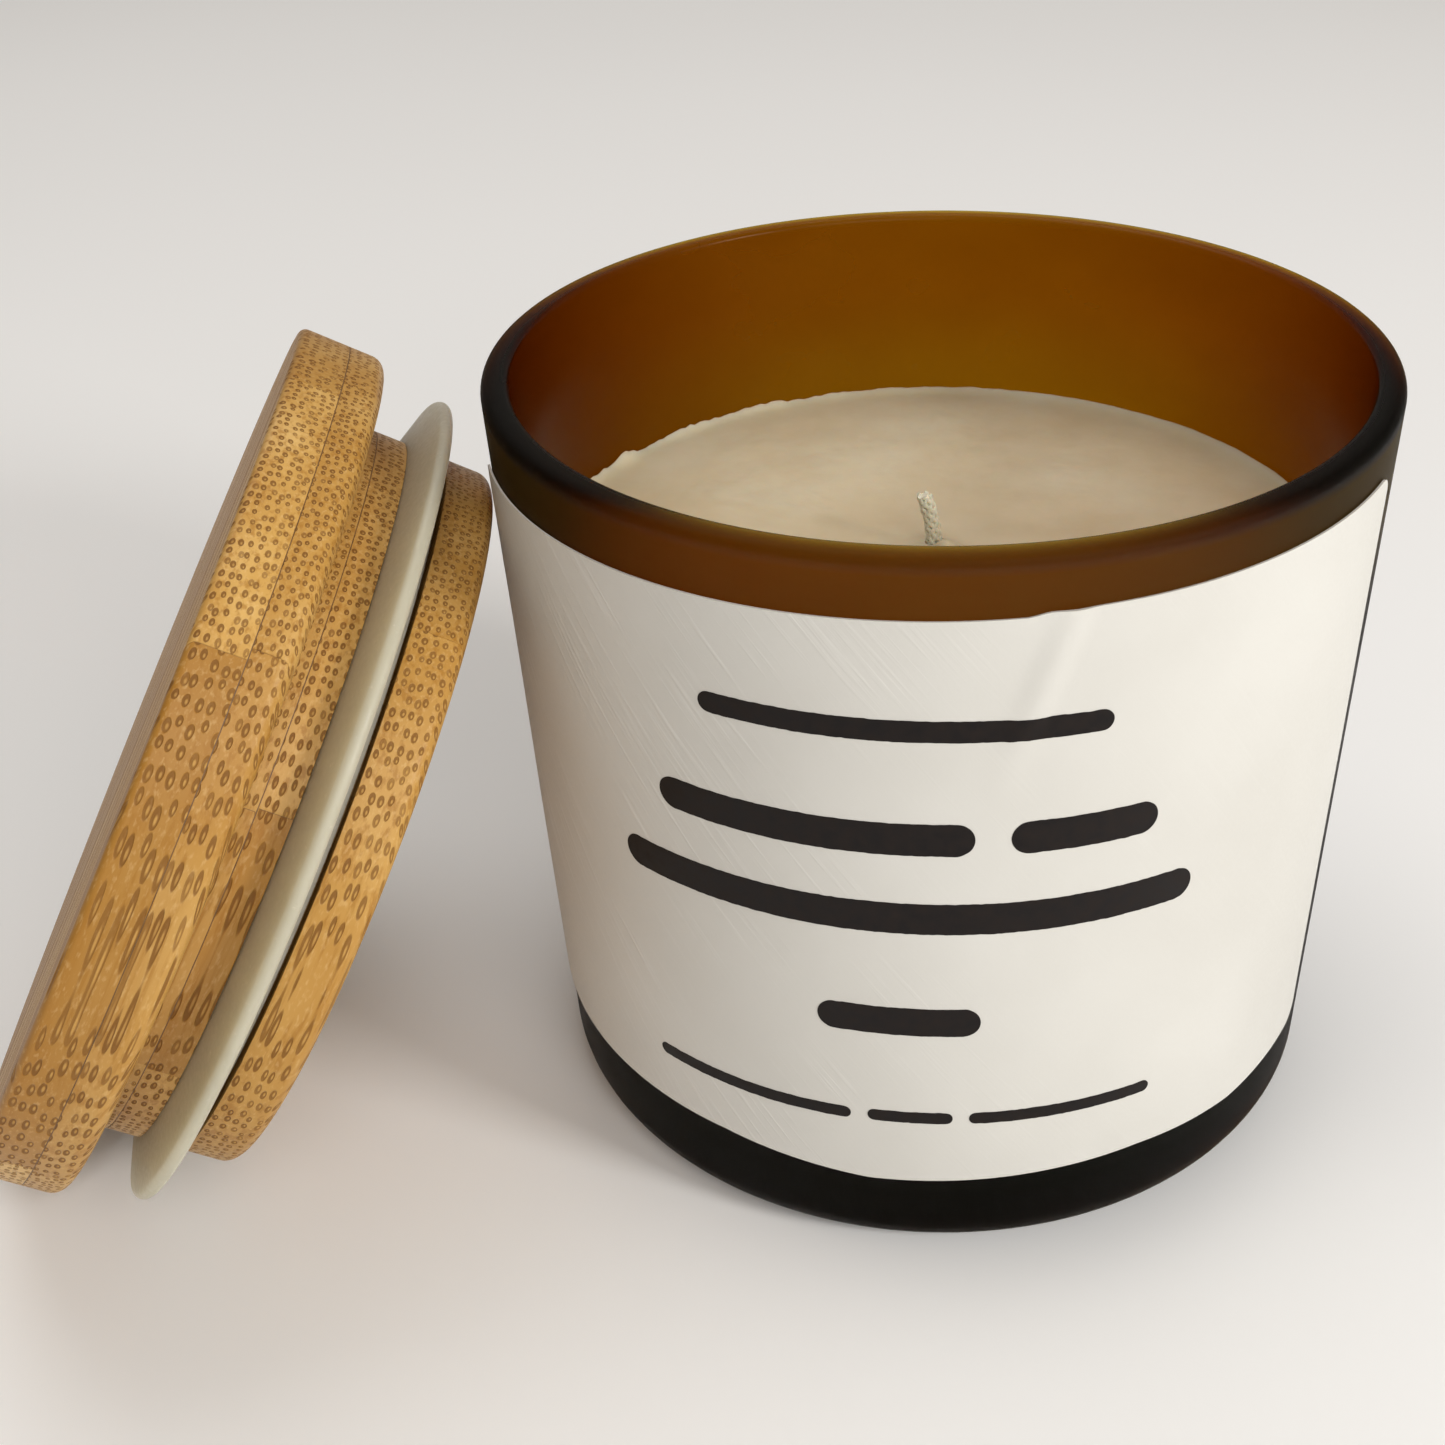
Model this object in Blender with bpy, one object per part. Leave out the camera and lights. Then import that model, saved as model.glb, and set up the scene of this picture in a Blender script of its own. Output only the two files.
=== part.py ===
"""Candle jar with its bamboo lid leaning against it.

Units are metres, +Z is up and the jar stands on z = 0 with its axis on the Z axis.
The lid is modelled top side up in its own frame, then turned and stood on its edge
beside the jar, with the plug's edge resting near the jar's wall.
"""

import bpy
import bmesh
from math import atan2, cos, degrees, pi, radians, sin
from mathutils import Matrix, Vector

MM = 0.001

# Jar: a tumbler that widens evenly towards the mouth.
jar_height = 62.2 * MM
jar_base_radius = 32.0 * MM
jar_mouth_radius = 35.0 * MM
jar_wall = 2.15 * MM
jar_floor_thickness = 9.5 * MM
rim_round = 0.75 * MM
inner_rim_round = 0.5 * MM
base_round = 3.2 * MM
inner_floor_round = 3.0 * MM

# Label wrapped round the front, its azimuths measured from the front (-Y) towards +X.
label_left_deg = -74.5
label_right_deg = 65.5
label_bottom = 8.0 * MM
label_top = 57.8 * MM
label_thickness = 0.15 * MM
label_gap = 0.1 * MM

# Wax, wick and the metal tab that holds the wick.
wax_level = 45.3 * MM
wax_edge_rise = 0.5 * MM
wax_edge_width = 1.2 * MM
wax_dip = 0.5 * MM
wax_dip_radius = 9.0 * MM
wick_radius = 0.75 * MM
wick_stub = 4.9 * MM
wick_lean = 0.9 * MM
wick_sides = 12
wick_bend_shares = [0.35, 0.7, 1.0]
tab_radius = 7.5 * MM
tab_thickness = 0.4 * MM
tab_neck_height = 6.0 * MM
tab_neck_radius = 1.45 * MM
pad_thickness = 0.8 * MM
fit_gap = 0.3 * MM

# Lid, measured down from the middle of its top face.
lid_radius = 34.7 * MM
lid_disc_thickness = 7.1 * MM
lid_top_round = 0.6 * MM
lid_under_round = 1.2 * MM
plug_radius = 29.2 * MM
plug_end = 18.3 * MM
plug_end_round = 1.1 * MM
groove_top = 10.8 * MM
groove_bottom = 14.1 * MM
groove_radius = 27.0 * MM
ply_depths = [3.95 * MM, 8.35 * MM, 12.9 * MM]
strip_joints = [
    [27.7 * MM, 7.4 * MM, -12.9 * MM],
    [27.2 * MM, 4.9 * MM, -17.3 * MM],
    [27.1 * MM, 6.8 * MM, -13.5 * MM],
    [17.7 * MM, -4.9 * MM],
]
glue_gap = 0.2 * MM

# Silicone seal ring seated in the groove.
seal_inner_radius = 27.3 * MM
seal_lip_radius = 33.45 * MM
seal_lip_drop = 1.4 * MM
seal_lip_thickness = 1.1 * MM
seal_web_thickness = 1.6 * MM
seal_lip_half_turn_deg = 75

# How the lid leans: its axis points down at the jar, the plug side nearest the jar.
lean_below_level_deg = 28.3
lean_azimuth_deg = 9.2
grain_turn_deg = -82.0
lid_centre_x = -62.95 * MM
lid_centre_y = -14.5 * MM

# Facets round every turned piece, and the edge angle above which a corner stays crisp.
segments = 72
crisp_edge_deg = 30

# Material looks: colour, roughness, metallic share, share of light let through.
glass_look = ((0.10, 0.045, 0.012), 0.4, 0.0, 0.6)
label_look = ((0.82, 0.80, 0.74), 0.6, 0.0, 0.0)
wax_look = ((0.90, 0.84, 0.68), 0.5, 0.0, 0.0)
cotton_look = ((0.86, 0.82, 0.72), 0.9, 0.0, 0.0)
tinned_steel_look = ((0.62, 0.62, 0.62), 0.35, 1.0, 0.0)
pad_look = ((0.85, 0.85, 0.82), 0.7, 0.0, 0.0)
bamboo_look = ((0.66, 0.43, 0.20), 0.5, 0.0, 0.0)
silicone_look = ((0.62, 0.60, 0.50), 0.4, 0.0, 0.0)


def arc(centre, radius, start_deg, end_deg, steps):
    """Points on a circular arc in the (radius, height) plane."""
    points = []
    for step in range(steps + 1):
        angle = radians(start_deg + (end_deg - start_deg) * step / steps)
        points.append((centre[0] + radius * cos(angle), centre[1] + radius * sin(angle)))
    return points


def add_material(name, look):
    colour, roughness, metallic, transmission = look
    material = bpy.data.materials.new(name)
    material.use_nodes = True
    shader = material.node_tree.nodes["Principled BSDF"]
    shader.inputs["Base Color"].default_value = (*colour, 1.0)
    shader.inputs["Roughness"].default_value = roughness
    shader.inputs["Metallic"].default_value = metallic
    shader.inputs["Transmission Weight"].default_value = transmission
    return material


def add_object(name, mesh_data, material, placement=None):
    """Make a named object from a bmesh, with its faces pointing out and shaded smooth."""
    bmesh.ops.remove_doubles(mesh_data, verts=mesh_data.verts[:], dist=1e-6)
    bmesh.ops.recalc_face_normals(mesh_data, faces=mesh_data.faces[:])
    mesh = bpy.data.meshes.new(name)
    mesh_data.to_mesh(mesh)
    mesh_data.free()
    mesh.shade_smooth()
    mesh.set_sharp_from_angle(angle=radians(crisp_edge_deg))
    mesh.materials.append(material)
    item = bpy.data.objects.new(name, mesh)
    bpy.context.scene.collection.objects.link(item)
    if placement is not None:
        item.matrix_world = placement
    return item


def lathe(outline, first_deg=0.0):
    """Turn an outline about Z. An outline that starts and ends on the axis makes a solid."""
    body = bmesh.new()
    on_axis = outline[0][0] == 0.0
    rings = []
    for radius, height in outline:
        if radius == 0.0:
            continue
        ring = []
        for step in range(segments):
            angle = radians(first_deg) + 2 * pi * step / segments
            ring.append(body.verts.new((radius * cos(angle), radius * sin(angle), height)))
        rings.append(ring)
    pairs = list(zip(rings, rings[1:]))
    if on_axis:
        body.faces.new(rings[0])
        body.faces.new(rings[-1])
    else:
        pairs.append((rings[-1], rings[0]))
    for lower, upper in pairs:
        for step in range(segments):
            after = (step + 1) % segments
            body.faces.new((lower[step], lower[after], upper[after], upper[step]))
    return body


def wall_radius(height):
    """Outside radius of the jar's straight wall at a height."""
    return jar_base_radius + (jar_mouth_radius - jar_base_radius) * height / jar_height


def add_jar(material):
    """Glass tumbler: outer wall, rounded rim, inner wall and a heavy floor."""
    wall_slope_deg = degrees(atan2(jar_mouth_radius - jar_base_radius, jar_height))
    outer = [(0.0, 0.0)]
    outer += arc((wall_radius(base_round) - base_round, base_round), base_round,
                 -90, -wall_slope_deg, 5)
    outer += arc((jar_mouth_radius - rim_round, jar_height - rim_round), rim_round, 0, 90, 3)
    inner_mouth = jar_mouth_radius - jar_wall
    inner = arc((inner_mouth + inner_rim_round, jar_height - inner_rim_round), inner_rim_round,
                90, 180, 3)
    floor_centre = jar_floor_thickness + inner_floor_round
    floor_radius = wall_radius(floor_centre) - jar_wall
    inner += arc((floor_radius - inner_floor_round, floor_centre), inner_floor_round, 0, -90, 4)
    inner.append((0.0, jar_floor_thickness))
    return add_object("jar_glass", lathe(outer + inner, label_right_deg - 90), material)


def add_label(material):
    """Film label that follows the jar's facets, one thin curved slab."""
    body = bmesh.new()
    facets = round((label_right_deg - label_left_deg) * segments / 360)
    columns = []
    for step in range(facets + 1):
        angle = radians(label_left_deg - 90 + 360 * step / segments)
        column = []
        for offset in (label_gap, label_gap + label_thickness):
            for height in (label_bottom, label_top):
                radius = wall_radius(height) + offset
                column.append(body.verts.new((radius * cos(angle), radius * sin(angle), height)))
        columns.append([column[0], column[1], column[3], column[2]])
    for left, right in zip(columns, columns[1:]):
        for side in range(4):
            after = (side + 1) % 4
            body.faces.new((left[side], left[after], right[after], right[side]))
    body.faces.new(columns[0])
    body.faces.new(columns[-1])
    return add_object("front_label", body, material)


def add_wax(material):
    """Wax with a raised edge at the glass, a shallow dip at the wick and a recess for the tab."""
    floor = jar_floor_thickness + fit_gap
    tab_top = floor + pad_thickness + fit_gap + tab_thickness
    neck_top = tab_top + tab_neck_height
    channel = wick_radius + fit_gap
    edge_radius = wall_radius(wax_level) - jar_wall - fit_gap
    low_radius = wall_radius(floor + inner_floor_round) - jar_wall - fit_gap
    outline = [
        (channel, wax_level - wax_dip),
        (wax_dip_radius, wax_level - wax_dip / 3),
        (wax_dip_radius * 2, wax_level),
        (edge_radius - wax_edge_width, wax_level),
        (edge_radius, wax_level + wax_edge_rise),
    ]
    outline += arc((low_radius - inner_floor_round, floor + inner_floor_round), inner_floor_round,
                   0, -90, 4)
    outline += [
        (tab_radius + fit_gap, floor),
        (tab_radius + fit_gap, tab_top + fit_gap),
        (tab_neck_radius + fit_gap, tab_top + fit_gap),
        (tab_neck_radius + fit_gap, neck_top + fit_gap),
        (channel, neck_top + fit_gap),
    ]
    return add_object("wax_fill", lathe(outline), material)


def add_pad(material):
    """Round adhesive pad between the glass floor and the metal tab."""
    bottom = jar_floor_thickness + fit_gap
    outline = [(0.0, bottom), (tab_radius, bottom), (tab_radius, bottom + pad_thickness),
               (0.0, bottom + pad_thickness)]
    return add_object("sustainer_pad", lathe(outline), material)


def add_sustainer(material):
    """Stamped metal tab with a crimped neck round the wick."""
    bottom = jar_floor_thickness + fit_gap + pad_thickness + fit_gap
    top = bottom + tab_thickness
    bore = wick_radius + fit_gap / 2
    outline = [
        (bore, bottom),
        (tab_radius, bottom),
        (tab_radius, top),
        (tab_neck_radius, top),
        (tab_neck_radius, top + tab_neck_height),
        (bore, top + tab_neck_height),
    ]
    return add_object("wick_sustainer", lathe(outline), material)


def add_wick(material):
    """Cotton wick: straight through the wax, its stub leaning a little."""
    bottom = jar_floor_thickness + fit_gap + pad_thickness + fit_gap
    path = [Vector((0, 0, bottom)), Vector((0, 0, wax_level - wax_dip))]
    for share in wick_bend_shares:
        path.append(Vector((-wick_lean * share ** 2, 0, path[1].z + wick_stub * share)))
    body = bmesh.new()
    rings = []
    for point in path:
        ring = []
        for side in range(wick_sides):
            angle = 2 * pi * side / wick_sides
            around = Vector((cos(angle), sin(angle), 0)) * wick_radius
            ring.append(body.verts.new(point + around))
        rings.append(ring)
    for lower, upper in zip(rings, rings[1:]):
        for side in range(wick_sides):
            after = (side + 1) % wick_sides
            body.faces.new((lower[side], lower[after], upper[after], upper[side]))
    body.faces.new(rings[0])
    body.faces.new(rings[-1])
    return add_object("wick", body, material)


def lid_outline():
    """The bamboo block's outline from the top face down, as (radius, depth) points."""
    outline = arc((lid_radius - lid_top_round, lid_top_round), lid_top_round, -90, 0, 3)
    outline += arc((lid_radius - lid_under_round, lid_disc_thickness - lid_under_round),
                   lid_under_round, 0, 90, 4)
    outline += [
        (plug_radius, lid_disc_thickness),
        (plug_radius, groove_top),
        (groove_radius, groove_top),
        (groove_radius, groove_bottom),
        (plug_radius, groove_bottom),
    ]
    outline += arc((plug_radius - plug_end_round, plug_end - plug_end_round), plug_end_round,
                   0, 90, 4)
    return outline


def ply_outline(top, bottom):
    """The part of the block's outline between two depths, closed onto the axis."""
    block = lid_outline()
    band = []
    for (radius, depth), (next_radius, next_depth) in zip(block, block[1:]):
        for cut in (top, bottom):
            if depth < cut < next_depth:
                share = (cut - depth) / (next_depth - depth)
                band.append((radius + share * (next_radius - radius), cut))
        if top <= next_depth <= bottom:
            band.append((next_radius, next_depth))
    if top <= block[0][1]:
        band.insert(0, block[0])
    return [(0.0, -band[0][1])] + [(r, -d) for r, d in band] + [(0.0, -band[-1][1])]


def keep_between(body, low, high):
    """Cut a body down to the slab low < x < high and close the cut faces."""
    for position, side in ((low, -1), (high, 1)):
        geometry = body.verts[:] + body.edges[:] + body.faces[:]
        cut = bmesh.ops.bisect_plane(body, geom=geometry, dist=1e-7, plane_co=(position, 0, 0),
                                     plane_no=(side, 0, 0), clear_outer=True)
        rim = [item for item in cut["geom_cut"] if isinstance(item, bmesh.types.BMEdge)]
        bmesh.ops.edgeloop_fill(body, edges=rim)
    return body


def add_lid_strips(placement):
    """Every ply of the lid, sawn into the strips it was glued up from."""
    strips = []
    half_facet_deg = 180 / segments
    tops = [0.0] + [depth + glue_gap / 2 for depth in ply_depths]
    bottoms = [depth - glue_gap / 2 for depth in ply_depths] + [plug_end]
    for ply, (top, bottom) in enumerate(zip(tops, bottoms)):
        edges = [lid_radius * 2] + strip_joints[ply] + [-lid_radius * 2]
        for number, (high, low) in enumerate(zip(edges, edges[1:])):
            body = lathe(ply_outline(top, bottom), half_facet_deg)
            keep_between(body, low + glue_gap / 2, high - glue_gap / 2)
            name = f"lid_ply{ply + 1}_strip{number + 1}"
            material = add_material("bamboo_" + name, bamboo_look)
            strips.append(add_object(name, body, material, placement))
    return strips


def add_seal(material, placement):
    """Silicone ring: a body that fills the groove and a lip flared out past the plug."""
    top = groove_top + fit_gap
    bottom = groove_bottom - fit_gap
    tip = (seal_lip_radius - seal_lip_thickness / 2, top + seal_lip_drop)
    outline = [(seal_inner_radius, bottom), (seal_inner_radius, top), (plug_radius, top)]
    outline += arc(tip, seal_lip_thickness / 2, -seal_lip_half_turn_deg, seal_lip_half_turn_deg, 4)
    outline += [(plug_radius + fit_gap, top + seal_web_thickness), (plug_radius - fit_gap, bottom)]
    turned = [(radius, -depth) for radius, depth in outline]
    return add_object("seal_ring", lathe(turned), material, placement)


def lid_placement():
    """Turn the lid from lying flat to leaning on its edge beside the jar."""
    return (Matrix.Translation((lid_centre_x, lid_centre_y, 0))
            @ Matrix.Rotation(radians(lean_azimuth_deg), 4, "Z")
            @ Matrix.Rotation(-radians(90 - lean_below_level_deg), 4, "Y")
            @ Matrix.Rotation(radians(grain_turn_deg), 4, "Z"))


def stand_on_surface(items):
    """Lift the items together until their lowest point touches z = 0."""
    lowest = min((item.matrix_world @ corner.co).z for item in items for corner in item.data.vertices)
    for item in items:
        item.matrix_world = Matrix.Translation((0, 0, -lowest)) @ item.matrix_world


def build():
    for item in list(bpy.data.objects):
        bpy.data.objects.remove(item, do_unlink=True)
    add_jar(add_material("amber_glass", glass_look))
    add_label(add_material("label_film", label_look))
    add_wax(add_material("wax", wax_look))
    add_wick(add_material("cotton", cotton_look))
    add_sustainer(add_material("tinned_steel", tinned_steel_look))
    add_pad(add_material("adhesive_pad", pad_look))
    placement = lid_placement()
    lid = add_lid_strips(placement)
    lid.append(add_seal(add_material("silicone", silicone_look), placement))
    bpy.context.view_layer.update()
    stand_on_surface(lid)
    bpy.context.view_layer.update()


build()
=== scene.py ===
"""Looks for the candle jar and its bamboo lid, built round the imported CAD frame.

Units are metres, +Z is up and the jar's axis is the Z axis. Every visible CAD node is
replaced by a finer piece of the same size, so that round walls and edges stay smooth.
"""

from math import atan2, cos, degrees, exp, pi, radians, sin, sqrt

import bmesh
import bpy
from mathutils import Matrix, Vector, noise


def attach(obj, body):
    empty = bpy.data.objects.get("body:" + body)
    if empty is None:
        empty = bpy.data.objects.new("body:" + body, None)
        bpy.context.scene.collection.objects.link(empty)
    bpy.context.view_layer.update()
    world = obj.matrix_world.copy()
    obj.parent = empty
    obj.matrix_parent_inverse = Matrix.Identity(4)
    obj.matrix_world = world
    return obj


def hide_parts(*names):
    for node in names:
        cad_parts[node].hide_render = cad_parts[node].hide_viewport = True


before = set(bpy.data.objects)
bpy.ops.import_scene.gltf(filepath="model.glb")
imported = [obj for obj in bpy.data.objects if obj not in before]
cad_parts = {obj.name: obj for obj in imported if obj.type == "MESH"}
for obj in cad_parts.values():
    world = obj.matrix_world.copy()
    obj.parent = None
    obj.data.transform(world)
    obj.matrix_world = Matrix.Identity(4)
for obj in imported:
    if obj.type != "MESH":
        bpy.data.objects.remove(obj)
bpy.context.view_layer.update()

MM = 0.001

# Sizes shared with the CAD model.
JAR_HEIGHT = 62.2 * MM
JAR_BASE_RADIUS = 32.0 * MM
JAR_MOUTH_RADIUS = 35.0 * MM
JAR_WALL = 2.15 * MM
JAR_FLOOR = 9.5 * MM
RIM_ROUND = 0.75 * MM
INNER_RIM_ROUND = 0.5 * MM
BASE_ROUND = 3.2 * MM
INNER_FLOOR_ROUND = 3.0 * MM
LABEL_LEFT_DEG = -74.5
LABEL_RIGHT_DEG = 65.5
LABEL_THICKNESS = 0.15 * MM
LABEL_GAP = 0.1 * MM
WAX_LEVEL = 45.3 * MM
WAX_GAP = 0.3 * MM
WICK_RADIUS = 0.75 * MM
WICK_STUB = 4.9 * MM
WICK_LEAN = 0.9 * MM
WICK_DIMPLE = 0.5 * MM
TAB_RADIUS = 7.5 * MM
TAB_THICKNESS = 0.4 * MM
TAB_NECK_RADIUS = 1.45 * MM
TAB_NECK_HEIGHT = 6 * MM
PAD_THICKNESS = 0.8 * MM
LID_RADIUS = 34.7 * MM
DISC_THICKNESS = 7.1 * MM
LID_TOP_ROUND = 0.6 * MM
LID_UNDER_ROUND = 1.2 * MM
PLUG_RADIUS = 29.2 * MM
PLUG_END = 18.3 * MM
PLUG_END_ROUND = 1.1 * MM
GROOVE_TOP = 10.8 * MM
GROOVE_BOTTOM = 14.1 * MM
GROOVE_RADIUS = 27.0 * MM
PLY_DEPTHS = [3.95 * MM, 8.35 * MM, 12.9 * MM]
STRIP_JOINTS = [
    [27.7 * MM, 7.4 * MM, -12.9 * MM],
    [27.2 * MM, 4.9 * MM, -17.3 * MM],
    [27.1 * MM, 6.8 * MM, -13.5 * MM],
    [17.7 * MM, -4.9 * MM],
]
SEAL_INNER_RADIUS = 27.3 * MM
SEAL_LIP_RADIUS = 33.45 * MM
SEAL_LIP_DROP = 1.4 * MM
SEAL_LIP_THICKNESS = 1.1 * MM
SEAL_WEB_THICKNESS = 1.6 * MM
SEAL_LIP_TURN_DEG = 75
FIT_GAP = 0.3 * MM

# The lid's own frame: origin in the middle of the top face, Z out of that face, Y along the grain.
LID_CENTRE = Vector((-62.95, -14.5, 35.42)) * MM
LID_AZIMUTH_DEG = 9.2
LID_LEAN_DEG = 28.3
LID_GRAIN_TURN_DEG = -82.0
LID_FRAME = (
    Matrix.Translation(LID_CENTRE)
    @ Matrix.Rotation(radians(LID_AZIMUTH_DEG), 4, "Z")
    @ Matrix.Rotation(-radians(90 - LID_LEAN_DEG), 4, "Y")
    @ Matrix.Rotation(radians(LID_GRAIN_TURN_DEG), 4, "Z")
)

# The label's outline: its corners, and its wavy edges as (azimuth in degrees, height) points.
LABEL_CORNER = 1.6 * MM
LABEL_TOP_EDGE = [(-77, 57.1 * MM), (10, 57.8 * MM), (12, 58.1 * MM), (69, 58.7 * MM)]
LABEL_BOTTOM_EDGE = [(-77, 8.7 * MM), (-29, 8.7 * MM), (-8, 7.7 * MM), (29, 8.3 * MM), (46, 7.9 * MM),
                     (66, 8.9 * MM)]

# Relief of the film and the print: a fold at the top edge, faint waves, ink with ragged edges.
FOLD_AZIMUTH_DEG = 12.0
FOLD_FOOT = 53 * MM
FOLD_LEVEL = 54 * MM
FOLD_SLANT = 0.35
FOLD_WIDTH = 1.1 * MM
FOLD_REACH = 6 * MM
FOLD_HEIGHT = 0.34 * MM
FOLD_TROUGH = 0.12 * MM
FOLD_TROUGH_AWAY = 2.2
FILM_WAVE = 0.035 * MM
FILM_LIFT = 0.03 * MM
FILM_BACK_SHARE = 0.6
PRINT_ABOVE = 0.03 * MM
PRINT_BELOW = 0.05 * MM
PRINT_RAGGED = 0.05 * MM
PRINT_LEAST_HALF = 0.02 * MM

# Relief of the wax: a dip, a lump at the wick with a drip beside it, a swell, a frayed edge.
WAX_DIP = 0.5 * MM
WAX_DIP_RADIUS = 9 * MM
WAX_LUMP = 0.9 * MM
WAX_LUMP_RADIUS = 1.5 * MM
WAX_DRIP = 0.8 * MM
WAX_DRIP_RADIUS = 1.1 * MM
WAX_DRIP_PLACE = (1.3 * MM, -0.9 * MM)
WAX_SWELL = 0.28 * MM
WAX_RIPPLE = 0.10 * MM
WAX_CALM_EDGE = 4 * MM
WAX_FRAYED_DEG = 150
WAX_EDGE_RISE = 0.5 * MM
WAX_EDGE_FRAY = 0.55 * MM
WAX_CLIMB = 0.45 * MM

# The wick's braid, and the least space kept round it and round the seal.
WICK_CLEARANCE = 0.03 * MM
WICK_CORE_RADIUS = 0.44 * MM
WICK_STRANDS = 5
WICK_STRAND_RADIUS = 0.17 * MM
WICK_WIND_RADIUS = 0.50 * MM
WICK_WEAVE = 0.05 * MM
WICK_PITCH = 4.2 * MM
SEAL_CLEARANCE = 0.03 * MM

# Widths of the glue lines between plies and between strips, and how far they lie back.
GLUE_LINE = 0.08 * MM
STRIP_LINE = 0.05 * MM
GLUE_RECESS = 0.04 * MM
GLUE_HALF_SHARE = 0.45

# Plain bars in place of the printed lines: first and last azimuth in degrees, height, thickness.
PRINT_BARS = [
    (-27.1, 20.0, 49.3 * MM, 1.7 * MM),
    (-34.1, 4.9, 40.4 * MM, 2.7 * MM),
    (9.0, 26.7, 40.4 * MM, 2.7 * MM),
    (-41.1, 32.6, 33.5 * MM, 2.7 * MM),
    (-14.1, 6.2, 23.9 * MM, 2.6 * MM),
    (-39.2, -10.2, 14.3 * MM, 1.1 * MM),
    (-8.0, 3.0, 14.4 * MM, 1.1 * MM),
    (5.1, 29.8, 14.4 * MM, 1.1 * MM),
]

# How dark each strip is, and how far apart its vessel bundles lie.
STRIP_TONES = [
    [0.95, 0.25, 0.60, 0.45],
    [0.55, 0.40, 0.45, 0.35],
    [0.70, 0.20, 0.40, 0.70],
    [0.45, 0.60, 0.50],
]
BUNDLE_SPACING = [
    [0.80 * MM, 0.62 * MM, 0.80 * MM, 0.80 * MM],
    [0.70 * MM, 0.58 * MM, 0.70 * MM, 0.75 * MM],
    [0.80 * MM, 0.64 * MM, 0.75 * MM, 0.75 * MM],
    [0.70 * MM, 0.64 * MM, 0.75 * MM],
]

# How finely round pieces are divided.
ROUND_STEPS = 180
WAX_STEPS = 360
WAX_INNER_RING = 1.4 * MM
WAX_RING_STEP = 0.45 * MM
WAX_OUTER_RINGS = 52
WAX_OUTER_SPAN = 25.5 * MM
WAX_RING_CROWDING = 1.35
LABEL_COLUMNS = 260
LABEL_ROWS = 90
BAR_COLUMNS_PER_DEG = 3
BAR_LEAST_COLUMNS = 24
BAR_ROWS = 6
WICK_STEPS = 220
WICK_CORE_STEPS = 40

# The camera, solved on the outline of the real jar.
CAMERA_LENS = 49.83
CAMERA_SHIFT = (-0.0444, -0.0875)
CAMERA_PLACE = (0, -144.82 * MM, 119.54 * MM)
CAMERA_PITCH = 0.49886
CAMERA_YAW = -0.08382
CAMERA_ROLL = -0.03101

# The stage.
FLOOR_SIDE = 6.0
FLOOR_LEVEL = -0.05 * MM
SKY_COLOUR = (1.0, 0.92, 0.82, 1.0)
SKY_STRENGTH = 0.27
JAR_MIDDLE = (0, 0, 0.03)
# Each light: name, place, target, side length, power, colour.
LIGHTS = [
    ("key", (0.64, -0.36, 0.34), JAR_MIDDLE, 0.16, 3.2, (1.0, 0.98, 0.94)),
    ("window", (0.22, -0.66, 0.50), JAR_MIDDLE, 0.5, 2.7, (1.0, 0.99, 0.97)),
    ("overhead", (-0.15, 0.25, 0.80), (-0.02, 0, 0.03), 0.7, 2.4, (1.0, 0.99, 0.97)),
]


# ---------------------------------------------------------------- node materials


class Shader:
    """A node material under construction, ending in one Principled BSDF."""

    def __init__(self, name, **constants):
        self.material = bpy.data.materials.new(name)
        self.material.use_nodes = True
        self.tree = self.material.node_tree
        self.bsdf = self.tree.nodes["Principled BSDF"]
        for socket, value in constants.items():
            self.bsdf.inputs[socket.replace("_", " ")].default_value = value

    def add(self, kind, inputs=None, **settings):
        """Add a node. An input is given as a constant or as another node's output."""
        node = self.tree.nodes.new("ShaderNode" + kind)
        for key, value in settings.items():
            setattr(node, key, value)
        for key, value in (inputs or {}).items():
            self.feed(node.inputs[key], value)
        return node

    def feed(self, socket, value):
        if isinstance(value, bpy.types.NodeSocket):
            self.tree.links.new(value, socket)
        else:
            socket.default_value = value

    def surface(self, **inputs):
        for key, value in inputs.items():
            self.feed(self.bsdf.inputs[key.replace("_", " ")], value)

    def attribute(self, name, output="Vector"):
        return self.add("Attribute", attribute_name=name).outputs[output]

    def place(self):
        return self.add("TexCoord").outputs["Object"]

    def stretch(self, vector, scale, turn_deg=(0, 0, 0)):
        turned = [radians(angle) for angle in turn_deg]
        return self.add("Mapping", {"Vector": vector, "Scale": scale, "Rotation": turned}).outputs[0]

    def noise(self, vector, scale, detail=3.0, roughness=0.5):
        wanted = {"Vector": vector, "Scale": scale, "Detail": detail, "Roughness": roughness}
        return self.add("TexNoise", wanted).outputs["Fac"]

    def math(self, operation, first, second=0.0, third=0.0):
        wanted = {0: first, 1: second, 2: third}
        return self.add("Math", wanted, operation=operation).outputs[0]

    def span(self, value, low, high, out_low=0.0, out_high=1.0):
        """Map low..high smoothly to out_low..out_high, clamped at both ends."""
        wanted = {"Value": value, "From Min": low, "From Max": high, "To Min": out_low,
                  "To Max": out_high}
        return self.add("MapRange", wanted, interpolation_type="SMOOTHSTEP").outputs["Result"]

    def ramp(self, value, stops):
        node = self.add("ValToRGB", {"Fac": value})
        elements = node.color_ramp.elements
        while len(elements) < len(stops):
            elements.new(0.5)
        for element, (position, colour) in zip(elements, stops):
            element.position = position
            element.color = (*colour, 1.0)
        return node.outputs["Color"]

    def mix(self, factor, first, second):
        node = self.add("Mix", data_type="RGBA")
        self.feed(node.inputs[0], factor)
        for socket, value in ((node.inputs[6], first), (node.inputs[7], second)):
            self.feed(socket, (*value, 1.0) if isinstance(value, tuple) else value)
        return node.outputs[2]

    def bump(self, height, distance, strength=1.0, normal=None):
        node = self.add("Bump", {"Height": height, "Distance": distance, "Strength": strength})
        if normal is not None:
            self.feed(node.inputs["Normal"], normal)
        return node.outputs[0]


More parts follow.
